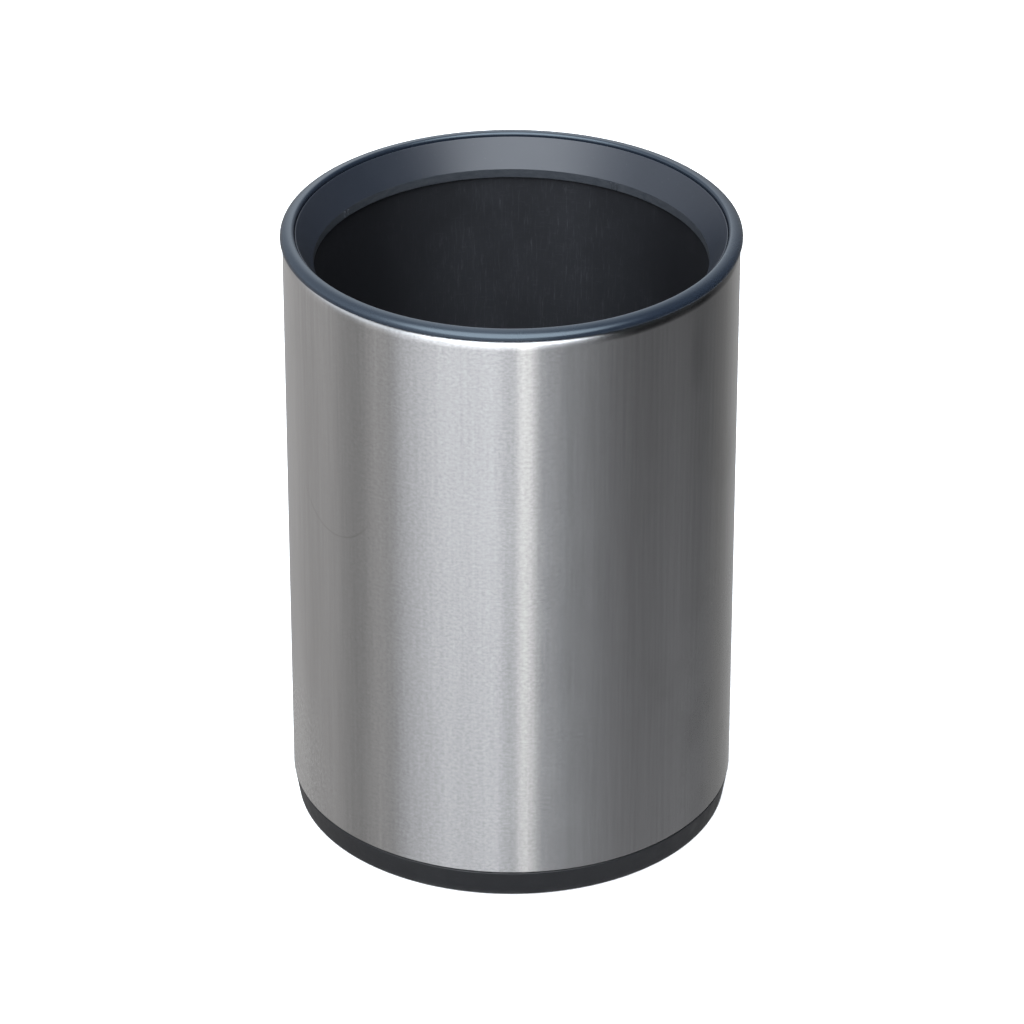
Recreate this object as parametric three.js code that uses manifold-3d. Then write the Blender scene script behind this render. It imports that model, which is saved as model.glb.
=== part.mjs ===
// Open-top wastebasket: a brushed stainless steel tube with a plastic trim ring,
// a lift-out inner bucket, a lift-off collar that holds the bag, and a plastic base ring.
// Millimetres, +Z up, origin on the floor at the middle of the base.
import * as THREE from 'three';
import { mergeVertices } from 'three/addons/utils/BufferGeometryUtils.js';
import Module from 'manifold-3d';

const wasm = await Module();
wasm.setup();

// ---- driving dimensions ----

const OVERALL_HEIGHT = 351.5;
const RIM_RADIUS = 125;
const GAP = 0.3; // clearance between pieces that rest on each other
const TURN_STEPS = 72; // facets round the body of the bin

const SHELL = { radius: 123.8, wall: 0.8, bottom: 16.8, lipInner: 119.7 };
const SHOULDER = { width: 3.6, height: 5.5 };
const TRIM = { edge: 1.2, rise: 3.5, crest: 118.9, inner: 117.3, innerRound: 1.2, skirtOuter: 119.3 };
const SNAP = { outer: 120.7, height: 2.4 };
const LEDGE = { inner: 115.7, thickness: 1.8 };
const COLLAR = { outer: 116.9, sunk: 1.2, drop: 16.5, lip: 5.2, skirtWall: 1.6, throat: 107.1, wall: 1.8 };
const BUCKET = { wall: 1.8, flangeOuter: 116.9, mouth: 109.5, floorInner: 99.6, bottom: 28 };
const BASE = { footRadius: 121, skirtTop: 123.5, plug: 122.6, inner: 98, wall: 2.2, clear: 0.8 };
const PLATE = { wall: 0.8, radius: 122.6, bend: 2, rim: 6 };
const PAD = { radius: 7, height: 2, circle: 110, count: 4 };
const SCREW = { head: 4, headHeight: 2, shank: 1.9, length: 8.5, circle: 110, count: 4, clearance: 0.4 };
const CATCH = { ridge: 1.4, spread: 3.2, height: 4, proud: 0.7, count: 4, firstAngle: 58 };

// ---- heights worked out from them ----

const trimUnder = OVERALL_HEIGHT - TRIM.rise - TRIM.edge;
const shellTop = trimUnder - GAP;
const collarTop = OVERALL_HEIGHT - COLLAR.sunk;
const slopeEnd = collarTop - COLLAR.drop;
const collarFoot = slopeEnd - 0.3;
const collarBottom = slopeEnd - COLLAR.lip;
const flangeTop = collarFoot - GAP;
const flangeUnder = flangeTop - BUCKET.wall;
const ledgeTop = flangeUnder - GAP;
const baseTop = SHELL.bottom - 0.8; // a narrow shadow line under the steel
const plateBottom = 20.6;
const webTop = plateBottom - GAP;
const webUnder = webTop - 2;
const bucketFloorTop = BUCKET.bottom + 2;

// ---- finishes ----

const finish = (color, roughness, metalness) =>
  new THREE.MeshStandardMaterial({ color, roughness, metalness });
const finishes = {
  steel: () => finish(0xb4b2ae, 0.32, 1),
  slate: () => finish(0x2b323d, 0.4, 0),
  blackPlastic: () => finish(0x18181a, 0.55, 0),
  plate: () => finish(0x9c9fa2, 0.45, 1),
  rubber: () => finish(0x1d1d1e, 0.85, 0),
  screw: () => finish(0xa8a9ab, 0.35, 1),
};

// ---- outline helpers: every outline is a list of [radius, height] ----

// A stretch of an oval in an outline, from one angle to another in degrees.
function ovalArc(centreRadius, centreHeight, halfWidth, halfHeight, fromDeg, toDeg, steps) {
  return Array.from({ length: steps + 1 }, (_, i) => {
    const angle = THREE.MathUtils.degToRad(fromDeg + ((toDeg - fromDeg) * i) / steps);
    return [centreRadius + halfWidth * Math.cos(angle), centreHeight + halfHeight * Math.sin(angle)];
  });
}

function arc(centreRadius, centreHeight, radius, fromDeg, toDeg, steps) {
  return ovalArc(centreRadius, centreHeight, radius, radius, fromDeg, toDeg, steps);
}

// Turns an outline, listed anticlockwise, once round the Z axis into one closed surface.
function revolve(outline, steps = TURN_STEPS) {
  const points = outline.map(([r, z]) => new THREE.Vector2(r, z));
  const endsOnAxis = outline[0][0] === 0 && outline.at(-1)[0] === 0;
  if (!endsOnAxis) {
    points.push(points[0].clone());
  }
  const surface = new THREE.LatheGeometry(points, steps).rotateX(Math.PI / 2);
  return weld(surface);
}

function weld(surface) {
  surface.deleteAttribute('normal');
  surface.deleteAttribute('uv');
  return mergeVertices(surface, 1e-4);
}

function toSolid(surface) {
  const welded = weld(surface);
  const vertProperties = new Float32Array(welded.attributes.position.array);
  const triVerts = new Uint32Array(welded.index.array);
  return new wasm.Manifold(new wasm.Mesh({ numProp: 3, vertProperties, triVerts }));
}

function fromSolid(solid) {
  const mesh = solid.getMesh();
  const surface = new THREE.BufferGeometry();
  surface.setAttribute('position', new THREE.BufferAttribute(new Float32Array(mesh.vertProperties), 3));
  surface.setIndex(new THREE.BufferAttribute(new Uint32Array(mesh.triVerts), 1));
  return surface;
}

// An upright round bar between two heights, standing on the given circle.
function post(radius, low, high, circle, angleDeg, sides = 24) {
  const angle = THREE.MathUtils.degToRad(angleDeg);
  return new THREE.CylinderGeometry(radius, radius, high - low, sides)
    .rotateX(Math.PI / 2)
    .translate(circle * Math.cos(angle), circle * Math.sin(angle), (low + high) / 2);
}

const padAngle = (i) => (i * 360) / PAD.count;
const screwAngle = (i) => 45 + (i * 360) / SCREW.count;

// ---- steel body ----

// Tube whose top edge rolls inwards over a tall round shoulder to a narrow flat lip.
function makeOuterShell() {
  const { radius, wall, bottom, lipInner } = SHELL;
  const { width, height } = SHOULDER;
  const centreR = radius - width;
  const centreZ = shellTop - height;
  return revolve([
    [radius - wall, bottom],
    [radius, bottom],
    ...ovalArc(centreR, centreZ, width, height, 0, 90, 5),
    [lipInner, shellTop],
    [lipInner, shellTop - wall],
    ...ovalArc(centreR, centreZ, width - wall, height - wall, 90, 0, 5),
  ]);
}

// Shallow pan, open upwards, that closes the tube; its rim is spot welded to the wall.
function makeBottomPlate() {
  const { wall, radius, bend, rim } = PLATE;
  const centreR = radius - bend;
  const centreZ = plateBottom + bend;
  const pan = revolve([
    [0, plateBottom],
    ...arc(centreR, centreZ, bend, -90, 0, 3),
    [radius, plateBottom + rim],
    [radius - wall, plateBottom + rim],
    ...arc(centreR, centreZ, bend - wall, 0, -90, 3),
    [0, plateBottom + wall],
  ]);
  return drillForScrews(toSolid(pan), plateBottom - 1, plateBottom + wall + 1);
}

function drillForScrews(solid, low, high) {
  let drilled = solid;
  for (let i = 0; i < SCREW.count; i += 1) {
    const radius = SCREW.shank + SCREW.clearance;
    drilled = drilled.subtract(toSolid(post(radius, low, high, SCREW.circle, screwAngle(i), 16)));
  }
  return fromSolid(drilled);
}

// ---- trim ring ----

// Domed flange, highest at its inner edge, that covers the steel; a skirt with a snap bead
// under the steel lip; and a ledge at the foot of the skirt that carries the bucket.
function makeTopTrimRing() {
  const { rise, crest, inner, innerRound, skirtOuter } = TRIM;
  const beadTop = shellTop - SHELL.wall - GAP;
  const ledgeUnder = ledgeTop - LEDGE.thickness;
  return revolve([
    [LEDGE.inner, ledgeUnder],
    [skirtOuter, ledgeUnder],
    [skirtOuter, beadTop - SNAP.height],
    [SNAP.outer, beadTop - 0.8],
    [SNAP.outer, beadTop],
    [skirtOuter, beadTop],
    [skirtOuter, trimUnder],
    [RIM_RADIUS - 0.3, trimUnder],
    [RIM_RADIUS, trimUnder + 0.3],
    ...ovalArc(crest, OVERALL_HEIGHT - rise, RIM_RADIUS - crest, rise, 0, 90, 5),
    ...ovalArc(crest, OVERALL_HEIGHT - innerRound, crest - inner, innerRound, 90, 180, 3).slice(1),
    [inner, ledgeTop],
    [LEDGE.inner, ledgeTop],
  ]);
}

// ---- bag collar ----

// Funnel that slopes inwards and down to the throat, with a short upright lip below it,
// and an outer skirt that stands on the bucket's flange.
function makeBagCollar() {
  const { outer, skirtWall, throat, wall } = COLLAR;
  const slope = Math.atan2(collarTop - slopeEnd, outer - 0.5 - throat);
  const back = throat + wall / Math.sin(slope);
  const skirtInner = outer - skirtWall;
  const ring = revolve([
    [throat + wall, collarBottom],
    [throat + wall, slopeEnd - 0.6],
    [back, slopeEnd],
    [skirtInner, slopeEnd + (skirtInner - back) * Math.tan(slope)],
    [skirtInner, collarFoot],
    [outer, collarFoot],
    [outer, collarTop - 0.5],
    [outer - 0.5, collarTop],
    [throat + 0.2, slopeEnd],
    [throat, slopeEnd - 0.6],
    [throat, collarBottom],
  ]);
  let solid = toSolid(ring);
  for (let i = 0; i < CATCH.count; i += 1) {
    const angle = CATCH.firstAngle + (i * 360) / CATCH.count;
    solid = solid.add(toSolid(makeCatchRidge(angle, -CATCH.spread / 2)));
    solid = solid.add(toSolid(makeCatchRidge(angle, CATCH.spread / 2)));
  }
  return fromSolid(solid);
}

// One of the two small upright ridges of a moulded catch on the inside of the collar's lip.
function makeCatchRidge(angleDeg, aside) {
  const { ridge, height, proud } = CATCH;
  const depth = COLLAR.wall + proud - 0.6;
  return new THREE.BoxGeometry(depth, ridge, height)
    .translate(COLLAR.throat - proud + depth / 2, aside, collarBottom + 0.6 + height / 2)
    .rotateZ(THREE.MathUtils.degToRad(angleDeg));
}

// ---- inner bucket ----

// Tapered bucket, with a raised middle in its floor, that hangs by its flange.
function makeInnerBucket() {
  const { wall, flangeOuter, mouth, floorInner, bottom } = BUCKET;
  const corner = 5;
  const footRing = 88;
  const raise = 3;
  const cornerR = floorInner - corner;
  return revolve([
    [0, bottom + raise],
    [footRing - 4, bottom + raise],
    [footRing, bottom],
    [cornerR, bottom],
    ...arc(cornerR, bottom + corner + wall, corner + wall, -90, -2, 4).slice(1),
    [mouth + wall, flangeUnder],
    [flangeOuter, flangeUnder],
    [flangeOuter, flangeTop],
    [mouth + 0.5, flangeTop],
    [mouth, flangeTop - 0.5],
    ...arc(cornerR, bucketFloorTop + corner, corner, -2, -90, 4),
    [footRing, bucketFloorTop],
    [footRing - 4, bucketFloorTop + raise],
    [0, bucketFloorTop + raise],
  ]);
}

// ---- base ring ----

// Channel, open downwards, whose skirt shows under the steel; its top plugs into the tube.
function makeBaseRing() {
  const { footRadius, skirtTop, plug, inner, wall, clear } = BASE;
  const channel = revolve([
    [footRadius - wall, clear],
    [footRadius - 0.4, clear],
    [footRadius, clear + 0.4],
    [skirtTop, baseTop - 0.55],
    [skirtTop - 0.35, baseTop],
    [plug - 0.1, baseTop],
    [plug, webTop - 1],
    [plug - 1, webTop],
    [inner, webTop],
    [inner, clear + 0.6],
    [inner + wall - 0.2, clear + 0.6],
    [inner + wall, webUnder],
    [skirtTop - wall - 0.3, webUnder],
  ]);
  let solid = toSolid(channel);
  for (let i = 0; i < PAD.count; i += 1) {
    const boss = post(PAD.radius + 1.2, PAD.height + GAP, webUnder + 1, PAD.circle, padAngle(i));
    solid = solid.add(toSolid(boss));
  }
  return drillForScrews(solid, webUnder - 1, webTop + 1);
}

// Self-adhesive rubber disc under a boss of the base ring.
function makeFootPad(i) {
  const { radius, height, circle } = PAD;
  const angle = THREE.MathUtils.degToRad(padAngle(i));
  return revolve([[0, 0], [radius - 0.5, 0], [radius, 0.5], [radius, height], [0, height]], 24)
    .translate(circle * Math.cos(angle), circle * Math.sin(angle), 0);
}

// Pan-head self-tapping screw, driven upwards through the web of the base ring and the plate.
function makeBaseScrew(i) {
  const { head, headHeight, shank, length, circle } = SCREW;
  const angle = THREE.MathUtils.degToRad(screwAngle(i));
  const seat = webUnder - GAP;
  return revolve([
    [0, seat - headHeight],
    [head - 0.8, seat - headHeight],
    [head, seat - headHeight + 0.8],
    [head, seat],
    [shank, seat],
    [shank, seat + length - 2],
    [0.5, seat + length],
    [0, seat + length],
  ], 16).translate(circle * Math.cos(angle), circle * Math.sin(angle), 0);
}

// ---- assembly ----

const wastebasket = new THREE.Group();

function addPiece(name, geometry, material) {
  const piece = new THREE.Mesh(geometry, material);
  piece.name = name;
  wastebasket.add(piece);
}

addPiece('outer_shell', makeOuterShell(), finishes.steel());
addPiece('bottom_plate', makeBottomPlate(), finishes.plate());
addPiece('top_trim_ring', makeTopTrimRing(), finishes.slate());
addPiece('bag_collar', makeBagCollar(), finishes.slate());
addPiece('inner_bucket', makeInnerBucket(), finishes.blackPlastic());
addPiece('base_ring', makeBaseRing(), finishes.blackPlastic());
for (let i = 0; i < PAD.count; i += 1) {
  addPiece(`foot_pad_${i + 1}`, makeFootPad(i), finishes.rubber());
}
for (let i = 0; i < SCREW.count; i += 1) {
  addPiece(`base_screw_${i + 1}`, makeBaseScrew(i), finishes.screw());
}

export default wastebasket;
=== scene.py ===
"""Open-top wastebasket: the looks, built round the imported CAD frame. Metres, +Z up."""
import math

import bmesh
import bpy
from mathutils import Matrix, Vector


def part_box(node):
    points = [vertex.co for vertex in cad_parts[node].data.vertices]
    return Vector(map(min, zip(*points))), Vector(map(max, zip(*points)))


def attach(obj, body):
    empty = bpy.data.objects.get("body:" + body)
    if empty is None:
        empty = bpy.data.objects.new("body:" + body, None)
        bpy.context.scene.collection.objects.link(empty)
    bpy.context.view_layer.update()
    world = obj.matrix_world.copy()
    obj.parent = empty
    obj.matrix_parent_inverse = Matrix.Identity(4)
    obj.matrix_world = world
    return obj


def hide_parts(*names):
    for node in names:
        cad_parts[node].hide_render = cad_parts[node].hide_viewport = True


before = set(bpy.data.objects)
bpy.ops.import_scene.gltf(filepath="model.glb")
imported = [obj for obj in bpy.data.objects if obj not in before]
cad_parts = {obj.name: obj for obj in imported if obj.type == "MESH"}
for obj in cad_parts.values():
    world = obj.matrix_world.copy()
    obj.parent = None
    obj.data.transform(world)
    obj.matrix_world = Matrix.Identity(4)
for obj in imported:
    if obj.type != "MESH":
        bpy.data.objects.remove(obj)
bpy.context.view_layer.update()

MM = 0.001
GAP = 0.3 * MM  # stands in for contact between pieces, as in the CAD
AROUND = 360  # steps round the large pieces
AROUND_DRILLED = 240  # steps round the two large pieces with screw holes
SEAM_AZIMUTH = 90  # the tube's weld seam, and the start of every unrolled coordinate, is at the back
ON_AXIS = 1e-7  # a radius below this is a point on the axis
SHARP_ANGLE = 40  # degrees between faces, from which an edge is shaded sharp
SHARP_ANGLE_CUT = 35  # the same, on pieces that come out of a boolean


# ---- sizes, from the frame and from the part's own section ----

def top_of(node):
    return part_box(node)[1].z


def bottom_of(node):
    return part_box(node)[0].z


def radius_of(node):
    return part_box(node)[1].x


RIM_RADIUS = radius_of("top_trim_ring")
RIM_TOP = top_of("top_trim_ring")
SHELL_RADIUS = radius_of("outer_shell")
SHELL_TOP = top_of("outer_shell")
SHELL_BOTTOM = bottom_of("outer_shell")
SHELL_WALL = 0.8 * MM
SHELL_LIP = 119.7 * MM
SHOULDER = (3.6 * MM, 5.5 * MM)  # how far the tube's top edge rolls inwards, and over what height
TRIM_EDGE = 1.2 * MM
TRIM_RISE = 3.5 * MM
TRIM_CREST = 118.9 * MM
TRIM_INNER = 117.2 * MM
TRIM_INNER_ROUND = 1.6 * MM
TRIM_SKIRT = 119.3 * MM
TRIM_SNAP = 120.7 * MM
TRIM_LEDGE = 115.7 * MM
TRIM_LEDGE_WALL = 1.8 * MM
TRIM_BEAD = (2.4 * MM, 0.8 * MM)  # the snap bead's whole height, and the straight part at its top
COLLAR_TOP = top_of("bag_collar")
COLLAR_BOTTOM = bottom_of("bag_collar")
COLLAR_OUTER = radius_of("bag_collar")
COLLAR_SLOPE_END = COLLAR_TOP - 16.5 * MM
COLLAR_FOOT = COLLAR_SLOPE_END - 0.3 * MM
COLLAR_THROAT = 107.1 * MM
COLLAR_WALL = 1.8 * MM
COLLAR_SKIRT = 1.6 * MM
RIDGE_WIDTH = 1.4 * MM
RIDGE_SPREAD = 3.2 * MM
RIDGE_HEIGHT = 4.0 * MM
RIDGE_PROUD = 0.7 * MM
CATCH_AZIMUTH = 58  # the first of the four catches, each of two ridges
CATCH_COUNT = 4
BUCKET_TOP = top_of("inner_bucket")
BUCKET_BOTTOM = bottom_of("inner_bucket")
BUCKET_FLANGE = radius_of("inner_bucket")
BUCKET_WALL = 1.8 * MM
BUCKET_MOUTH = 109.5 * MM
BUCKET_FLOOR = 99.6 * MM
BUCKET_FLOOR_WALL = 2 * MM
BUCKET_FOOT_RING = 88 * MM  # inside this radius the floor steps up
BUCKET_FLOOR_STEP = (4 * MM, 3 * MM)  # how far inwards and upwards the step goes
BASE_SKIRT = radius_of("base_ring")
BASE_FOOT = 121.0 * MM
BASE_CLEAR = bottom_of("base_ring")
BASE_WEB_TOP = top_of("base_ring")
BASE_TOP = SHELL_BOTTOM - 0.8 * MM
BASE_EDGE = (0.35 * MM, 0.6 * MM)  # the oval round-over of its top edge, across and down
BASE_PLUG = 122.6 * MM
BASE_INNER = 98 * MM
BASE_WALL = 2.2 * MM
BASE_WEB = 2 * MM
BOSS_RADIUS = 8.2 * MM
PLATE_BOTTOM = bottom_of("bottom_plate")
PLATE_TOP = top_of("bottom_plate")
PLATE_RADIUS = radius_of("bottom_plate")
PLATE_WALL = 0.8 * MM
PAD_HEIGHT = top_of("foot_pad_1")
PAD_HOLLOW = (2.2 * MM, 1.8 * MM, 0.4 * MM)  # the hollow under a pad: edge top, edge bottom, depth
FOOT_COUNT = 4  # pads and screws
SCREW_HOLE = 2.3 * MM
SCREW_SHANK = 1.9 * MM
SCREW_HEAD = 2 * MM
SCREW_TIP = (0.4 * MM, 2 * MM)  # radius and length of the point
RECESS = (4.2 * MM, 0.9 * MM, 1.1 * MM)  # length, width and depth of the cross recess
RECESS_TURNS = (20, 110)  # degrees, of its two arms


# ---- mesh helpers ----

def rounded(corners, turn_per_step=10):
    """The outline through corners (radius, height, fillet radius), with each fillet as an arc."""
    points = []
    count = len(corners)
    for i, (r, z, fillet) in enumerate(corners):
        here = Vector((r, z))
        before = Vector(corners[i - 1][:2]) - here
        after = Vector(corners[(i + 1) % count][:2]) - here
        on_axis = r == 0 and (i == 0 or i == count - 1)
        if fillet == 0 or on_axis:
            points.append(here)
            continue
        half = before.angle(after) / 2
        reach = min(fillet / math.tan(half), 0.49 * before.length, 0.49 * after.length)
        fillet = reach * math.tan(half)
        centre = here + (before.normalized() + after.normalized()).normalized() * (fillet / math.sin(half))
        first = here + before.normalized() * reach - centre
        last = here + after.normalized() * reach - centre
        turn = first.angle_signed(last)
        steps = max(2, math.ceil(abs(math.degrees(turn)) / turn_per_step))
        for step in range(steps + 1):
            angle = -turn * step / steps
            points.append(centre + Matrix.Rotation(angle, 2) @ first)
    return points


def oval(centre_r, centre_z, half_width, half_height, start, end, steps):
    """A stretch of an oval, in degrees, as corners without fillets."""
    corners = []
    for i in range(steps + 1):
        angle = math.radians(start + (end - start) * i / steps)
        r = centre_r + half_width * math.cos(angle)
        z = centre_z + half_height * math.sin(angle)
        corners.append((r, z, 0))
    return corners


def with_holding_points(points, closed, inset=0.35 * MM):
    """Adds a point close to both ends of each long straight, so that shading stays flat along it."""
    held = []
    count = len(points)
    for i, point in enumerate(points):
        held.append(point)
        if i == count - 1 and not closed:
            break
        span = points[(i + 1) % count] - point
        if span.length > 4 * inset:
            step = span.normalized() * inset
            held.append(point + step)
            held.append(point + span - step)
    return held


def revolve(name, corners, around=AROUND):
    """A closed surface of revolution about Z, with an unrolled UV map in metres (round, along)."""
    closed = corners[0][0] != 0
    outline = with_holding_points(rounded(corners), closed)
    along = [0.0]
    for a, b in zip(outline, outline[1:] + outline[:1]):
        along.append(along[-1] + (b - a).length)
    reference = max(p.x for p in outline)
    mesh = bmesh.new()
    layer = mesh.loops.layers.uv.new("unrolled")
    rings = []
    for p in outline:
        if p.x < ON_AXIS:
            rings.append([mesh.verts.new((0, 0, p.y))])
            continue
        ring = []
        for j in range(around):
            azimuth = math.radians(SEAM_AZIMUTH) + j * math.tau / around
            ring.append(mesh.verts.new((p.x * math.cos(azimuth), p.x * math.sin(azimuth), p.y)))
        rings.append(ring)
    last = len(outline) if closed else len(outline) - 1
    for i in range(last):
        low, high = rings[i], rings[(i + 1) % len(outline)]
        for j in range(around):
            corners_of_face = []
            square = ((low, i, j), (low, i, j + 1), (high, i + 1, j + 1), (high, i + 1, j))
            for ring, step_along, k in square:
                vertex = ring[k % len(ring)]
                if vertex not in [v for v, _ in corners_of_face]:
                    corners_of_face.append((vertex, (k * math.tau / around * reference, along[step_along])))
            if len(corners_of_face) < 3:
                continue
            face = mesh.faces.new([v for v, _ in corners_of_face])
            face.smooth = True
            for loop, (_, uv) in zip(face.loops, corners_of_face):
                loop[layer].uv = uv
    bmesh.ops.recalc_face_normals(mesh, faces=mesh.faces)
    return to_object(name, mesh)


def to_object(name, mesh):
    data = bpy.data.meshes.new(name)
    mesh.to_mesh(data)
    mesh.free()
    data.set_sharp_from_angle(angle=math.radians(SHARP_ANGLE))
    piece = bpy.data.objects.new(name, data)
    bpy.context.scene.collection.objects.link(piece)
    return piece


def join_solids(piece, others, operation):
    """Adds or cuts closed meshes with exact booleans, and leaves no modifier behind."""
    for other in others:
        cut = piece.modifiers.new("cut", "BOOLEAN")
        cut.operation = operation
        cut.solver = "EXACT"
        cut.object = other
        evaluated = piece.evaluated_get(bpy.context.evaluated_depsgraph_get())
        result = bpy.data.meshes.new_from_object(evaluated)
        piece.modifiers.clear()
        piece.data = result
        bpy.data.objects.remove(other)
    piece.data.set_sharp_from_angle(angle=math.radians(SHARP_ANGLE_CUT))
    return piece


def upright(name, corners, centre, around=48):
    """A small revolved solid whose own axis stands at centre."""
    piece = revolve(name, corners, around)
    piece.data.transform(Matrix.Translation((centre[0], centre[1], 0)))
    return piece


def rod(name, centre, radius, low, high, fillet=0, around=24):
    """A closed upright cylinder, its lower edge rounded."""
    corners = [(0, low, 0), (radius, low, fillet), (radius, high, 0), (0, high, 0)]
    return upright(name, corners, centre, around)


def centre_of(node):
    low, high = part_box(node)
    return (low + high) / 2


def place(piece, body, node, material):
    piece.data.materials.clear()
    piece.data.materials.append(material)
    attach(piece, body)
    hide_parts(node)
    return piece


# ---- material helpers ----

def feed(socket, value):
    """Links a socket into another, or sets its value."""
    if isinstance(value, bpy.types.NodeSocket):
        socket.id_data.links.new(value, socket)
    else:
        socket.default_value = value


def add_node(tree, kind, inputs, settings):
    node = tree.nodes.new("ShaderNode" + kind)
    for key, value in settings.items():
        setattr(node, key, value)
    for key, value in (inputs or {}).items():
        feed(node.inputs[key], value)
    return node


def add_mix(tree, factor, a, b):
    inputs = {"Factor": factor, "A": a, "B": b}
    return add_node(tree, "Mix", inputs, {"data_type": "RGBA"}).outputs["Result"]


class Recipe:
    """A material under construction: short calls that add nodes and link them."""

    def __init__(self, name, **uniform):
        self.material = bpy.data.materials.new(name)
        self.material.use_nodes = True
        self.tree = self.material.node_tree
        self.surface = self.tree.nodes["Principled BSDF"]
        for socket, value in uniform.items():
            self.surface.inputs[socket.replace("_", " ")].default_value = value

    def add(self, kind, inputs=None, **settings):
        return add_node(self.tree, kind, inputs, settings)

    def distance_round(self):
        """Metres round the piece from the seam at the back."""
        uv = self.add("UVMap", uv_map="unrolled").outputs["UV"]
        return self.add("SeparateXYZ", {"Vector": uv}).outputs["X"]

    def height(self):
        point = self.add("TexCoord").outputs["Object"]
        return self.add("SeparateXYZ", {"Vector": point}).outputs["Z"]

    def unrolled(self, size_round, size_along):
        """Coordinates on the unrolled surface, one unit per given size in metres."""
        uv = self.add("UVMap", uv_map="unrolled").outputs["UV"]
        scale = (1 / size_round, 1 / size_along, 1)
        return self.add("Mapping", {"Vector": uv, "Scale": scale}).outputs["Vector"]

    def sheet(self, size_round, size_up, turn=0.0):
        """Coordinates on the tube's sheet (round, up), one unit per given size, turned by some degrees."""
        flat = self.add("CombineXYZ", {"X": self.distance_round(), "Y": self.height()}).outputs["Vector"]
        inputs = {"Vector": flat, "Scale": (size_round, size_up, 1), "Rotation": (0, 0, math.radians(turn))}
        return self.add("Mapping", inputs, vector_type="TEXTURE").outputs["Vector"]

    def near(self, azimuth, height, half_round, half_up, radius=SHELL_RADIUS):
        """1 in the middle of an oval patch of a wall at that radius, falling to 0 at its edge."""
        turn = math.radians(azimuth)
        middle = (radius * math.cos(turn), radius * math.sin(turn), height)
        inputs = {"Vector": self.add("TexCoord").outputs["Object"], "Location": middle,
                  "Scale": (half_round, half_round, half_up)}
        place_in_patch = self.add("Mapping", inputs, vector_type="TEXTURE").outputs["Vector"]
        distance = self.add("VectorMath", {0: place_in_patch}, operation="LENGTH").outputs["Value"]
        return self.ramp(distance, PATCH_CORE, 1.0, 1.0, 0.0)

    def space(self, size):
        """Object coordinates, one unit per given size in metres (a number or three)."""
        point = self.add("TexCoord").outputs["Object"]
        sizes = size if isinstance(size, tuple) else (size, size, size)
        scale = tuple(1 / s for s in sizes)
        return self.add("Mapping", {"Vector": point, "Scale": scale}).outputs["Vector"]

    def noise(self, vector, detail=2.0, rough=0.5, distort=0.0):
        shape = {"Scale": 1.0, "Detail": detail, "Roughness": rough, "Distortion": distort}
        return self.add("TexNoise", {"Vector": vector, **shape}).outputs["Fac"]

    def ramp(self, value, low, high, to_low=0.0, to_high=1.0):
        inputs = {"Value": value, "From Min": low, "From Max": high, "To Min": to_low, "To Max": to_high}
        return self.add("MapRange", inputs, clamp=True).outputs["Result"]

    def math(self, operation, a, b=0.0):
        return self.add("Math", {0: a, 1: b}, operation=operation).outputs[0]

    def mix(self, factor, a, b):
        return add_mix(self.tree, factor, a, b)

    def bump(self, height, strength, distance, below=None):
        inputs = {"Height": height, "Strength": strength, "Distance": distance}
        if below is not None:
            inputs["Normal"] = below
        return self.add("Bump", inputs).outputs["Normal"]

    def set(self, socket, value):
        feed(self.surface.inputs[socket], value)


def grey(value, tint=(1.0, 1.0, 1.0)):
    return (value * tint[0], value * tint[1], value * tint[2], 1.0)


# ---- materials ----

# The ring and the collar are one slate plastic in two copies: the ring's is painted darker and the collar's
# lighter, painted shade and light for how light falls on each.
RING_SLATE_SHADED = (0.0095, 0.0135, 0.0215)
RING_SHEEN = (0.78, 0.92, 1.0, 1.0)
COLLAR_SLATE_LIT = (0.0165, 0.0197, 0.0270)
# painted light: the lighter grey that the collar's lip below the slope is painted in streaks
PAINTED_LIGHT_SLATE = (0.050, 0.054, 0.060, 1)
DUST = (0.13, 0.14, 0.15, 1)
BUCKET_BLACK = (0.0042, 0.0044, 0.0060, 1)
# painted highlight: the lighter black of the patch on the bucket's back wall
BUCKET_PAINTED_HIGHLIGHT = (0.0112, 0.0118, 0.0145, 1)
BUCKET_MARKS = (0.055, 0.056, 0.063, 1)
PATCH_CORE = 0.35  # a patch is at full strength out to this share of its half size

# Patches: azimuth in degrees, height, half size round the wall, half size up it.
PITTED_BAND = (256, 175 * MM, 92 * MM, 1200 * MM)
KNOCKED_PATCHES = [
    (344, 75 * MM, 66 * MM, 150 * MM),
    (194, 34 * MM, 56 * MM, 80 * MM),
    (62, 60 * MM, 80 * MM, 70 * MM),
]
ARC_SCUFF = (219, 237 * MM, 32 * MM, 32 * MM)
ARC_SPAN = (226 * MM, 214 * MM)  # the arc shows fully below the second height, not at all above the first
SMEAR = (323, 312 * MM, 9 * MM, 26 * MM)
# A patch on the bucket's back wall, painted lighter as a highlight where the front light falls; the scuffs
# gather there too.
BUCKET_HIGHLIGHT_AND_SCUFF_PATCH = (84, 250 * MM, 92 * MM, 300 * MM)


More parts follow.
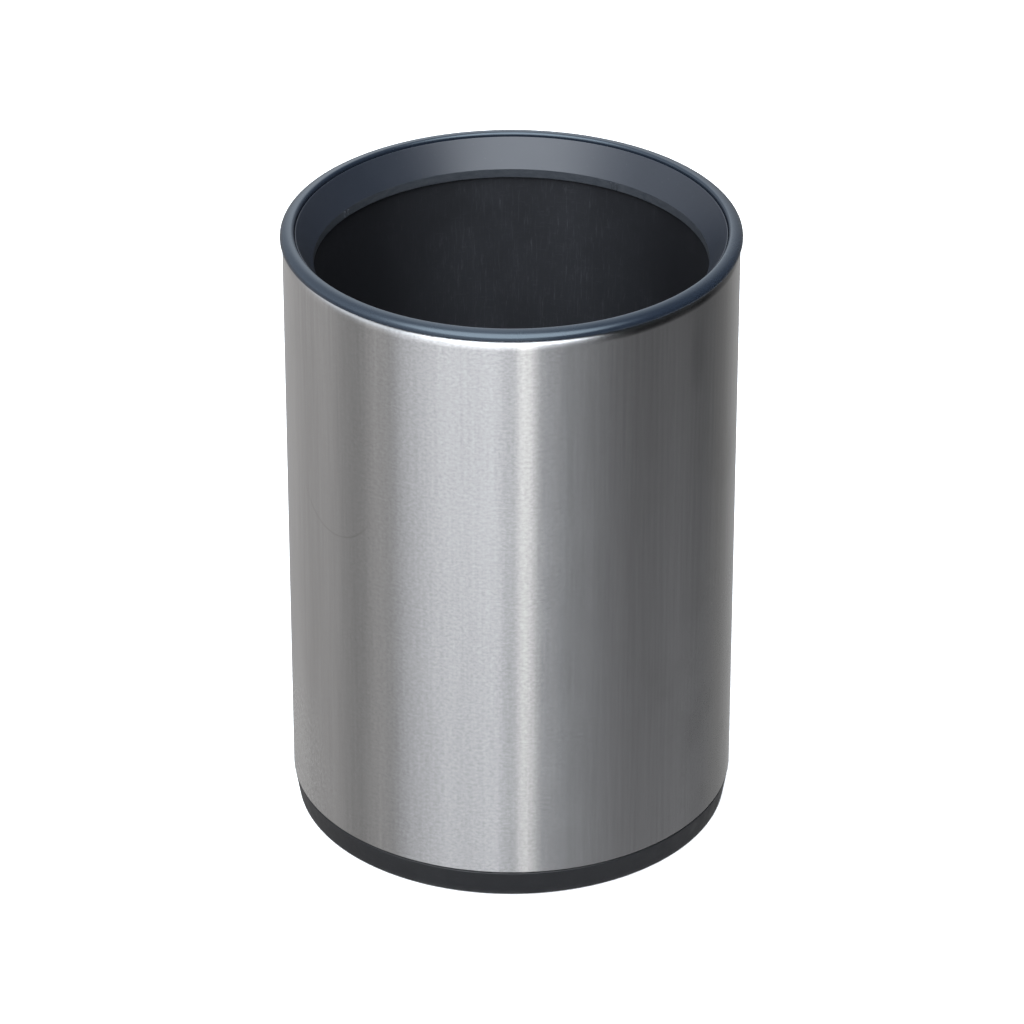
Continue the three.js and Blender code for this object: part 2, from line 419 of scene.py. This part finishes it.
def brushed_steel():
    """Stainless sheet brushed round the tube, with pits, smudges, scuffs and a weld at the back."""
    m = Recipe("brushed_stainless", Metallic=1.0, Anisotropic=1.0, Anisotropic_Rotation=0.25)
    m.set("Tangent", m.add("Tangent", direction_type="RADIAL", axis="Z").outputs["Tangent"])
    fine = m.noise(m.sheet(14 * MM, 0.22 * MM), 2.0, 0.6)
    dashes = m.noise(m.sheet(5 * MM, 0.75 * MM), 2.0, 0.6)
    ripple = m.noise(m.sheet(2.2 * MM, 120 * MM), 4.0, 0.7)
    grain = m.math("ADD", m.math("MULTIPLY", fine, 0.6), m.math("MULTIPLY", dashes, 0.4))
    dull, bright = grey(0.602, (1.0, 0.99, 0.985)), grey(0.640, (1.0, 0.995, 0.99))
    steel = m.mix(m.ramp(grain, 0.37, 0.63), dull, bright)
    steel = m.mix(m.ramp(ripple, 0.35, 0.65, 0.0, 0.24), steel, grey(0.40, (1.0, 0.98, 0.98)))
    pitting = m.noise(m.sheet(2.3 * MM, 1.6 * MM), 3.0, 0.75)
    pits = m.mix(m.ramp(pitting, 0.35, 0.65), grey(0.44), grey(0.83))
    steel = m.mix(m.math("MULTIPLY", m.near(*PITTED_BAND), 0.27), steel, pits)

    smudge = m.ramp(m.noise(m.space(55 * MM), 4.0, 0.6), 0.5, 0.75)
    steel = m.mix(m.math("MULTIPLY", smudge, 0.3), steel, grey(0.55, (1.0, 0.985, 0.96)))

    strokes = m.noise(m.sheet(1.1 * MM, 3.2 * MM, -12), 3.0, 0.75, 0.3)
    cloud = m.noise(m.space(26 * MM), 4.0, 0.62)
    knocked = m.near(*KNOCKED_PATCHES[0])
    for patch in KNOCKED_PATCHES[1:]:
        knocked = m.math("MAXIMUM", knocked, m.near(*patch))
    knocked = m.math("MULTIPLY", knocked, m.ramp(cloud, 0.30, 0.50))
    rubbed = m.math("MULTIPLY", m.ramp(strokes, 0.42, 0.66), knocked)
    steel = m.mix(m.math("MULTIPLY", rubbed, 0.8), steel, grey(0.88, (1.0, 1.0, 0.99)))

    arc_at = m.near(*ARC_SCUFF)
    arc = m.math("MULTIPLY", m.ramp(arc_at, 0.0, 0.03), m.ramp(arc_at, 0.075, 0.03))
    arc = m.math("MULTIPLY", arc, m.ramp(m.height(), *ARC_SPAN))
    smear = m.near(*SMEAR)
    steel = m.mix(m.math("MULTIPLY", arc, 0.35), steel, grey(0.40, (1.0, 0.96, 0.92)))
    steel = m.mix(m.math("MULTIPLY", smear, 0.35), steel, grey(0.40))

    from_seam = m.math("PINGPONG", m.distance_round(), math.pi * SHELL_RADIUS)
    bead = m.ramp(from_seam, 0.25 * MM, 0.8 * MM, 1.0, 0.0)
    heat = m.ramp(from_seam, 0.8 * MM, 4 * MM, 0.35, 0.0)
    steel = m.mix(m.math("MAXIMUM", bead, heat), steel, grey(0.46, (1.03, 0.98, 0.9)))
    m.set("Base Color", steel)

    roughness = m.math("ADD", m.ramp(grain, 0.3, 0.7, 0.19, 0.235), m.math("MULTIPLY", smudge, 0.03))
    roughness = m.math("ADD", roughness, m.math("MULTIPLY", rubbed, 0.08))
    m.set("Roughness", m.math("ADD", roughness, m.math("MULTIPLY", bead, 0.12)))
    relief = m.math("ADD", m.math("MULTIPLY", grain, 0.2), bead)
    m.set("Normal", m.bump(relief, 0.25, 0.05 * MM))
    return m.material


def slate_plastic(name, colour, gloss, painted_light_below=0.0, **uniform):
    """Satin slate-coloured plastic with a moulded texture and a little dust, painted a lighter grey in
    streaks below a height, as painted light.
    """
    m = Recipe(name, **uniform)
    texture = m.noise(m.space(0.45 * MM), 2.0, 0.5)
    cloud = m.noise(m.space(35 * MM), 4.0, 0.6)
    slate = m.mix(cloud, grey(0.9, colour), grey(1.1, colour))
    light_streaks = m.ramp(m.noise(m.sheet(6 * MM, 2.5 * MM), 4.0, 0.7), 0.3, 0.7, 0.35, 1.0)
    # painted light: below the given height the slate is painted a lighter grey in streaks
    lighter = m.math("MULTIPLY", m.ramp(m.height(), painted_light_below + 0.3 * MM, painted_light_below - 0.3 * MM), light_streaks)
    slate = m.mix(lighter, slate, PAINTED_LIGHT_SLATE)
    speck = m.ramp(m.noise(m.space(1.1 * MM), 1.0, 0.5), 0.74, 0.79)
    m.set("Base Color", m.mix(m.math("MULTIPLY", speck, 0.12), slate, DUST))
    m.set("Roughness", m.ramp(cloud, 0.3, 0.7, gloss - 0.03, gloss + 0.03))
    m.set("Normal", m.bump(texture, 0.08, 0.06 * MM))
    return m.material


def bucket_plastic():
    """Black polypropylene, rubbed by bags: faint upright scuffs in patches, and a painted highlight, a
    lighter patch on the back wall where the front light falls.
    """
    m = Recipe("scuffed_black_plastic", IOR=1.40)
    scuffs = m.noise(m.unrolled(0.9 * MM, 14 * MM), 4.0, 0.7, 1.2)
    cross = m.noise(m.unrolled(7 * MM, 1.0 * MM), 3.0, 0.7, 1.0)
    cloud = m.noise(m.space(40 * MM), 4.0, 0.6)
    highlight_and_scuff_wall = m.near(*BUCKET_HIGHLIGHT_AND_SCUFF_PATCH, BUCKET_MOUTH)
    patches = m.math("MULTIPLY", highlight_and_scuff_wall, m.ramp(cloud, 0.3, 0.6, 0.5, 1.0))
    marks = m.math("MAXIMUM", m.ramp(scuffs, 0.55, 0.72), m.ramp(cross, 0.58, 0.76, 0.0, 0.6))
    mark = m.math("MULTIPLY", marks, m.math("MAXIMUM", patches, m.ramp(cloud, 0.52, 0.7)))
    # painted highlight: the back-wall patch turns the black lighter
    black = m.mix(patches, BUCKET_BLACK, BUCKET_PAINTED_HIGHLIGHT)
    m.set("Base Color", m.mix(m.math("MULTIPLY", mark, 0.55), black, BUCKET_MARKS))
    roughness = m.ramp(patches, 0.0, 1.0, 0.62, 0.72)
    m.set("Roughness", m.math("ADD", roughness, m.math("MULTIPLY", mark, 0.12)))
    m.set("Normal", m.bump(scuffs, 0.06, 0.1 * MM))
    return m.material


def base_plastic():
    """Black polypropylene with a fine texture, scraped grey along its foot."""
    m = Recipe("base_black_plastic", IOR=1.49)
    texture = m.noise(m.space(0.6 * MM), 2.0, 0.6)
    wear = m.noise(m.space(9 * MM), 5.0, 0.65)
    scrapes = m.noise(m.unrolled(4 * MM, 0.6 * MM), 3.0, 0.7, 0.8)
    foot = m.math("MULTIPLY", m.ramp(m.height(), 3.6 * MM, 0.8 * MM), m.ramp(wear, 0.35, 0.6))
    lighter = m.math("MAXIMUM", foot, m.math("MULTIPLY", m.ramp(scrapes, 0.60, 0.74), m.ramp(wear, 0.4, 0.7)))
    black, scraped = (0.0070, 0.0072, 0.0085, 1), (0.034, 0.034, 0.033, 1)
    m.set("Base Color", m.mix(m.math("MULTIPLY", lighter, 0.6), black, scraped))
    m.set("Roughness", m.ramp(wear, 0.3, 0.8, 0.42, 0.6))
    m.set("Normal", m.bump(texture, 0.15, 0.08 * MM))
    return m.material


def galvanised_plate():
    m = Recipe("galvanised_plate", Metallic=1.0)
    flakes = m.add("TexVoronoi", {"Vector": m.space(6 * MM), "Scale": 1.0}).outputs["Color"]
    tone = m.add("SeparateColor", {"Color": flakes}).outputs["Red"]
    m.set("Base Color", m.mix(tone, grey(0.46, (0.98, 1.0, 1.02)), grey(0.58, (0.98, 1.0, 1.02))))
    m.set("Roughness", m.ramp(tone, 0.0, 1.0, 0.36, 0.55))
    m.set("Normal", m.bump(m.noise(m.space(1.5 * MM)), 0.08, 0.1 * MM))
    return m.material


def pad_rubber():
    m = Recipe("pad_rubber", IOR=1.5)
    grain = m.noise(m.space(0.4 * MM), 2.0, 0.6)
    m.set("Base Color", m.mix(grain, (0.010, 0.010, 0.010, 1), (0.028, 0.028, 0.028, 1)))
    m.set("Roughness", m.ramp(grain, 0.3, 0.7, 0.75, 0.9))
    m.set("Normal", m.bump(grain, 0.2, 0.1 * MM))
    return m.material


def zinc_screw():
    m = Recipe("zinc_screw", Metallic=1.0)
    tarnish = m.noise(m.space(2 * MM), 3.0, 0.6)
    m.set("Base Color", m.mix(tarnish, (0.52, 0.52, 0.53, 1), (0.68, 0.68, 0.67, 1)))
    m.set("Roughness", m.ramp(tarnish, 0.3, 0.7, 0.25, 0.42))
    m.set("Normal", m.bump(tarnish, 0.05, 0.05 * MM))
    return m.material


# ---- pieces ----

def make_shell():
    inside = SHELL_RADIUS - SHELL_WALL
    width, height = SHOULDER
    centre = (SHELL_RADIUS - width, SHELL_TOP - height)
    return revolve("outer_shell_look", [
        (inside, SHELL_BOTTOM, 0.2 * MM),
        (SHELL_RADIUS, SHELL_BOTTOM, 0.3 * MM),
        *oval(*centre, width, height, 0, 90, 14),
        (SHELL_LIP, SHELL_TOP, 0.2 * MM),
        (SHELL_LIP, SHELL_TOP - SHELL_WALL, 0.2 * MM),
        *oval(*centre, width - SHELL_WALL, height - SHELL_WALL, 90, 0, 10),
    ])


def make_trim_ring():
    under = RIM_TOP - TRIM_RISE - TRIM_EDGE
    bead_top = SHELL_TOP - SHELL_WALL - GAP
    bead_height, bead_straight = TRIM_BEAD
    ledge_under = bottom_of("top_trim_ring")
    ledge_top = ledge_under + TRIM_LEDGE_WALL
    crest = (RIM_RADIUS - TRIM_CREST, TRIM_RISE)
    inner = (TRIM_CREST - TRIM_INNER, TRIM_INNER_ROUND)
    return revolve("top_trim_ring_look", [
        (TRIM_LEDGE, ledge_under, 0.3 * MM),
        (TRIM_SKIRT, ledge_under, 0.3 * MM),
        (TRIM_SKIRT, bead_top - bead_height, 0.3 * MM),
        (TRIM_SNAP, bead_top - bead_straight, 0.3 * MM),
        (TRIM_SNAP, bead_top, 0.15 * MM),
        (TRIM_SKIRT, bead_top, 0.15 * MM),
        (TRIM_SKIRT, under, 0.15 * MM),
        (RIM_RADIUS, under, 0.58 * MM),
        *oval(TRIM_CREST, RIM_TOP - TRIM_RISE, *crest, 0, 90, 18),
        *oval(TRIM_CREST, RIM_TOP - TRIM_INNER_ROUND, *inner, 90, 180, 8)[1:],
        (TRIM_INNER, ledge_top, 0.2 * MM),
        (TRIM_LEDGE, ledge_top, 0.3 * MM),
    ])


def make_collar():
    slope = math.atan2(COLLAR_TOP - COLLAR_SLOPE_END, COLLAR_OUTER - 0.5 * MM - COLLAR_THROAT)
    back = COLLAR_THROAT + COLLAR_WALL / math.sin(slope)
    skirt_inner = COLLAR_OUTER - COLLAR_SKIRT
    collar = revolve("bag_collar_look", [
        (COLLAR_THROAT + COLLAR_WALL, COLLAR_BOTTOM, 0.5 * MM),
        (back, COLLAR_SLOPE_END, 1.0 * MM),
        (skirt_inner, COLLAR_SLOPE_END + (skirt_inner - back) * math.tan(slope), 0.6 * MM),
        (skirt_inner, COLLAR_FOOT, 0.3 * MM),
        (COLLAR_OUTER, COLLAR_FOOT, 0.3 * MM),
        (COLLAR_OUTER, COLLAR_TOP, 0.35 * MM),
        (COLLAR_THROAT, COLLAR_SLOPE_END, 0.45 * MM),
        (COLLAR_THROAT, COLLAR_BOTTOM, 0.5 * MM),
    ])
    ridges = []
    for i in range(CATCH_COUNT):
        for side in (-0.5, 0.5):
            ridges.append(make_ridge(CATCH_AZIMUTH + 360 / CATCH_COUNT * i, side * RIDGE_SPREAD))
    return join_solids(collar, ridges, "UNION")


def make_ridge(azimuth, aside):
    """One of the two upright ridges of a moulded catch on the collar's lip."""
    depth = RIDGE_PROUD + 1.0 * MM
    mesh = bmesh.new()
    bmesh.ops.create_cube(mesh, size=1)
    bmesh.ops.scale(mesh, verts=mesh.verts, vec=(depth, RIDGE_WIDTH, RIDGE_HEIGHT))
    bmesh.ops.bevel(mesh, geom=mesh.edges, offset=0.25 * MM, segments=2, affect="EDGES")
    middle = COLLAR_BOTTOM + 0.6 * MM + RIDGE_HEIGHT / 2
    bmesh.ops.translate(mesh, verts=mesh.verts, vec=(COLLAR_THROAT - RIDGE_PROUD + depth / 2, aside, middle))
    bmesh.ops.rotate(mesh, verts=mesh.verts, matrix=Matrix.Rotation(math.radians(azimuth), 3, "Z"))
    return to_object("ridge", mesh)


def make_bucket():
    under = BUCKET_TOP - BUCKET_WALL
    floor = BUCKET_BOTTOM + BUCKET_FLOOR_WALL
    step_in, step_up = BUCKET_FLOOR_STEP
    return revolve("inner_bucket_look", [
        (0, BUCKET_BOTTOM + step_up, 0),
        (BUCKET_FOOT_RING - step_in, BUCKET_BOTTOM + step_up, 2 * MM),
        (BUCKET_FOOT_RING, BUCKET_BOTTOM, 2 * MM),
        (BUCKET_FLOOR + BUCKET_WALL, BUCKET_BOTTOM, 6.8 * MM),
        (BUCKET_MOUTH + BUCKET_WALL, under, 0.5 * MM),
        (BUCKET_FLANGE, under, 0.4 * MM),
        (BUCKET_FLANGE, BUCKET_TOP, 0.4 * MM),
        (BUCKET_MOUTH, BUCKET_TOP, 0.7 * MM),
        (BUCKET_FLOOR, floor, 5 * MM),
        (BUCKET_FOOT_RING, floor, 2 * MM),
        (BUCKET_FOOT_RING - step_in, floor + step_up, 2 * MM),
        (0, floor + step_up, 0),
    ])


def make_base_ring():
    web_under = BASE_WEB_TOP - BASE_WEB
    boss_under = PAD_HEIGHT + GAP
    into = 1 * MM  # how far the bosses and the holes reach past the web's faces
    ring = revolve("base_ring_look", [
        (BASE_FOOT - BASE_WALL, BASE_CLEAR, 0.4 * MM),
        (BASE_FOOT, BASE_CLEAR, 0.5 * MM),
        *oval(BASE_SKIRT - BASE_EDGE[0], BASE_TOP - BASE_EDGE[1], *BASE_EDGE, 0, 90, 6),
        (BASE_PLUG - 0.1 * MM, BASE_TOP, 0),
        (BASE_PLUG, BASE_WEB_TOP, 1 * MM),
        (BASE_INNER, BASE_WEB_TOP, 0.4 * MM),
        (BASE_INNER, BASE_CLEAR + 0.6 * MM, 0.4 * MM),
        (BASE_INNER + BASE_WALL - 0.2 * MM, BASE_CLEAR + 0.6 * MM, 0.4 * MM),
        (BASE_INNER + BASE_WALL, web_under, 1 * MM),
        (BASE_SKIRT - BASE_WALL - 0.3 * MM, web_under, 1 * MM),
    ], AROUND_DRILLED)
    bosses = []
    for i in range(1, FOOT_COUNT + 1):
        centre = centre_of(f"foot_pad_{i}")
        bosses.append(rod("boss", centre, BOSS_RADIUS, boss_under, web_under + into, 0.4 * MM, 48))
    join_solids(ring, bosses, "UNION")
    return join_solids(ring, screw_holes(web_under - into, BASE_WEB_TOP + into), "DIFFERENCE")


def screw_holes(low, high):
    centres = [centre_of(f"base_screw_{i}") for i in range(1, FOOT_COUNT + 1)]
    return [rod("hole", centre, SCREW_HOLE, low, high) for centre in centres]


def make_plate():
    plate = revolve("bottom_plate_look", [
        (0, PLATE_BOTTOM, 0),
        (PLATE_RADIUS, PLATE_BOTTOM, 2 * MM),
        (PLATE_RADIUS, PLATE_TOP, 0.2 * MM),
        (PLATE_RADIUS - PLATE_WALL, PLATE_TOP, 0.2 * MM),
        (PLATE_RADIUS - PLATE_WALL, PLATE_BOTTOM + PLATE_WALL, 1.2 * MM),
        (0, PLATE_BOTTOM + PLATE_WALL, 0),
    ], AROUND_DRILLED)
    return join_solids(plate, screw_holes(PLATE_BOTTOM - 1 * MM, PLATE_BOTTOM + 2 * MM), "DIFFERENCE")


def make_pad(i):
    node = f"foot_pad_{i}"
    low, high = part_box(node)
    radius = (high.x - low.x) / 2
    edge_top, edge_bottom, depth = PAD_HOLLOW
    return upright(f"{node}_look", [
        (0, depth, 0),
        (radius - edge_top, depth, 0.2 * MM),
        (radius - edge_bottom, 0, 0.3 * MM),
        (radius, 0, 0.5 * MM),
        (radius, high.z, 0.2 * MM),
        (0, high.z, 0),
    ], centre_of(node))


def make_screw(i):
    node = f"base_screw_{i}"
    low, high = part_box(node)
    radius = (high.x - low.x) / 2
    head_top = low.z + SCREW_HEAD
    tip_radius, tip_length = SCREW_TIP
    screw = upright(f"{node}_look", [
        (0, low.z, 0),
        (radius, low.z, 1.2 * MM),
        (radius, head_top, 0.2 * MM),
        (SCREW_SHANK, head_top, 0.2 * MM),
        (SCREW_SHANK, high.z - tip_length, 0.2 * MM),
        (tip_radius, high.z, 0.1 * MM),
        (0, high.z, 0),
    ], centre_of(node), 32)
    slots = [make_slot(centre_of(node), low.z, turn) for turn in RECESS_TURNS]
    return join_solids(screw, slots, "DIFFERENCE")


def make_slot(centre, low, turn):
    """One arm of the cross recess in a screw's head."""
    length, width, depth = RECESS
    mesh = bmesh.new()
    bmesh.ops.create_cube(mesh, size=1)
    bmesh.ops.scale(mesh, verts=mesh.verts, vec=(length, width, 2 * depth))
    bmesh.ops.rotate(mesh, verts=mesh.verts, matrix=Matrix.Rotation(math.radians(turn), 3, "Z"))
    bmesh.ops.translate(mesh, verts=mesh.verts, vec=(centre.x, centre.y, low))
    return to_object("slot", mesh)


# ---- stage, light and camera ----

FLOOR_RADIUS = 6.0
FLOOR_GLOW = 0.3  # light that only the camera sees, to keep the floor pale


def make_floor():
    mesh = bmesh.new()
    bmesh.ops.create_circle(mesh, cap_ends=True, segments=96, radius=FLOOR_RADIUS)
    floor = to_object("floor", mesh)
    m = Recipe("pale_floor", Roughness=1.0)
    m.set("Base Color", (0.9, 0.9, 0.9, 1))
    m.set("Specular IOR Level", 0.0)
    path = m.add("LightPath").outputs["Is Camera Ray"]
    m.set("Emission Color", (1, 1, 1, 1))
    m.set("Emission Strength", m.math("MULTIPLY", path, FLOOR_GLOW))
    floor.data.materials.append(m.material)
    floor.visible_glossy = False


NEUTRAL = (1.0, 1.0, 1.0)
WARM = (1.015, 1.0, 0.995)
COOL = (0.985, 1.0, 1.045)
SKY = (0.93, 0.99, 1.06)
# The studio round the bin: azimuth in degrees, brightness at eye level and near the floor, and colour.
SURROUNDINGS = [
    (2, 0.02, 0.42, COOL),
    (16, 0.0, 0.44, COOL),
    (30, 0.07, 0.37, COOL),
    (46, 0.16, 0.36, NEUTRAL),
    (58, 0.34, 0.39, NEUTRAL),
    (70, 0.40, 0.44, NEUTRAL),
    (82, 0.42, 0.82, NEUTRAL),
    (94, 0.48, 0.06, NEUTRAL),
    (102, 0.54, 0.08, NEUTRAL),
    (118, 0.50, 0.50, WARM),
    (142, 0.44, 0.28, WARM),
    (158, 0.48, 0.32, WARM),
    (166, 0.49, 0.34, WARM),
    (178, 0.32, 0.25, WARM),
    (190, 0.27, 0.24, WARM),
    (200, 0.54, 0.20, WARM),
    (208, 0.47, 0.12, NEUTRAL),
    (213, 0.74, 0.26, COOL),
    (226, 1.05, 0.20, COOL),
    (238, 1.34, 0.16, COOL),
    (246, 1.32, 0.10, COOL),
    (262, 1.40, 0.18, COOL),
    (268, 1.08, 0.04, COOL),
    (272, 1.10, 0.0, COOL),
    (275, 2.02, 0.0, NEUTRAL),
    (279, 1.75, 0.0, NEUTRAL),
    (284, 0.60, 0.10, COOL),
    (298, 0.21, 0.24, COOL),
    (314, 0.09, 0.33, COOL),
    (332, 0.0, 0.41, COOL),
    (348, 0.0, 0.40, COOL),
]
# Higher up: azimuth in degrees, and brightness.
OVERHEAD = [
    (0, 0.04), (50, 0.15), (76, 0.7), (96, 1.7), (112, 0.8), (130, 0.7), (180, 1.2), (215, 1.3), (240, 1.5),
    (262, 1.7), (275, 1.4), (295, 0.4), (315, 0.04)]
# The heights of a direction (its Z) over which one ring goes over into the next.
BELOW_TO_LEVEL = (-0.62, -0.40)
LEVEL_TO_ABOVE = (0.0, 0.3)
# The round soft light, in degrees: it is at full brightness to the inner angle and ends at the outer one.
SOFTBOX = {"azimuth": 264, "elevation": 59, "inner": 31, "outer": 43, "brightness": 6.0}


def make_world():
    world = bpy.data.worlds.new("studio")
    bpy.context.scene.world = world
    world.use_nodes = True
    tree = world.node_tree
    tree.nodes.clear()

    def add(kind, inputs=None, **settings):
        return add_node(tree, kind, inputs, settings)

    direction = add("SeparateXYZ", {"Vector": add("TexCoord").outputs["Generated"]})
    angle = add("Math", {0: direction.outputs["Y"], 1: direction.outputs["X"]}, operation="ARCTAN2")
    turn = add("Math", {0: angle.outputs[0], 1: math.tau}, operation="DIVIDE")
    turn = add("Math", {0: turn.outputs[0]}, operation="FRACT").outputs[0]

    def ring_of(stops):
        ramp = add("ValToRGB", {"Fac": turn})
        elements = ramp.color_ramp.elements
        elements[0].position = 0.0
        elements[1].position = 1.0
        for edge in (0, 1):
            elements[edge].color = grey(stops[0][1], stops[0][2])
        for azimuth, brightness, tint in stops[1:]:
            elements.new(azimuth / 360).color = grey(brightness, tint)
        return ramp.outputs["Color"]

    def blend(low, high, start, end):
        """Goes from one colour to the other as the direction rises between two values of Z."""
        rise = add("MapRange", {"Value": direction.outputs["Z"], "From Min": start, "From Max": end},
                   interpolation_type="SMOOTHSTEP").outputs["Result"]
        return add_mix(tree, rise, low, high)

    level = ring_of([(azimuth, bright, tint) for azimuth, bright, _, tint in SURROUNDINGS])
    below = ring_of([(azimuth, bright, tint) for azimuth, _, bright, tint in SURROUNDINGS])
    above = ring_of([(azimuth, bright, SKY) for azimuth, bright in OVERHEAD])
    around = blend(blend(below, level, *BELOW_TO_LEVEL), above, *LEVEL_TO_ABOVE)
    azimuth, elevation = math.radians(SOFTBOX["azimuth"]), math.radians(SOFTBOX["elevation"])
    level_part = math.cos(elevation)
    aim = (math.cos(azimuth) * level_part, math.sin(azimuth) * level_part, math.sin(elevation))
    off_axis = add("VectorMath", {0: add("TexCoord").outputs["Generated"], 1: aim}, operation="DOT_PRODUCT")
    lit = add("MapRange", {"Value": off_axis.outputs["Value"],
                           "From Min": math.cos(math.radians(SOFTBOX["outer"])),
                           "From Max": math.cos(math.radians(SOFTBOX["inner"]))}).outputs["Result"]
    around = add_mix(tree, lit, around, grey(SOFTBOX["brightness"], SKY))
    seen = add_mix(tree, add("LightPath").outputs["Is Camera Ray"], around, (1, 1, 1, 1))
    background = add("Background", {"Color": seen, "Strength": 1.0})
    add("OutputWorld", {"Surface": background.outputs[0]})


# The camera fitted to the photo.
CAMERA = {"elevation": 29.592, "distance": 2.97142, "target": (0.29 * MM, 0, 174.56 * MM), "lens": 188.084}


def make_camera():
    elevation = math.radians(CAMERA["elevation"])
    toward = Vector((0, -math.cos(elevation), math.sin(elevation)))
    data = bpy.data.cameras.new("camera")
    data.lens = CAMERA["lens"]
    data.sensor_width = 36
    data.clip_end = 60
    camera = bpy.data.objects.new("camera", data)
    camera.location = Vector(CAMERA["target"]) + toward * CAMERA["distance"]
    camera.rotation_euler = (math.radians(90) - elevation, 0, 0)
    bpy.context.scene.collection.objects.link(camera)
    bpy.context.scene.camera = camera


def main():
    make_camera()
    make_world()
    make_floor()
    bpy.context.scene.view_settings.view_transform = "Standard"
    # One slate plastic in two copies: the ring's is painted darker than the collar's, as painted shade.
    shaded_ring_plastic = slate_plastic("slate_plastic_shaded_copy_ring", RING_SLATE_SHADED, 0.26, IOR=1.6, Specular_Tint=RING_SHEEN)
    lit_collar_plastic = slate_plastic("slate_plastic_lit_copy_collar", COLLAR_SLATE_LIT, 0.36, COLLAR_SLOPE_END, IOR=1.5)
    place(make_shell(), "bin_body", "outer_shell", brushed_steel())
    place(make_trim_ring(), "bin_body", "top_trim_ring", shaded_ring_plastic)
    place(make_collar(), "collar", "bag_collar", lit_collar_plastic)
    place(make_bucket(), "bucket", "inner_bucket", bucket_plastic())
    place(make_base_ring(), "bin_body", "base_ring", base_plastic())
    place(make_plate(), "bin_body", "bottom_plate", galvanised_plate())
    rubber = pad_rubber()
    zinc = zinc_screw()
    for i in range(1, FOOT_COUNT + 1):
        place(make_pad(i), "bin_body", f"foot_pad_{i}", rubber)
        place(make_screw(i), "bin_body", f"base_screw_{i}", zinc)


main()
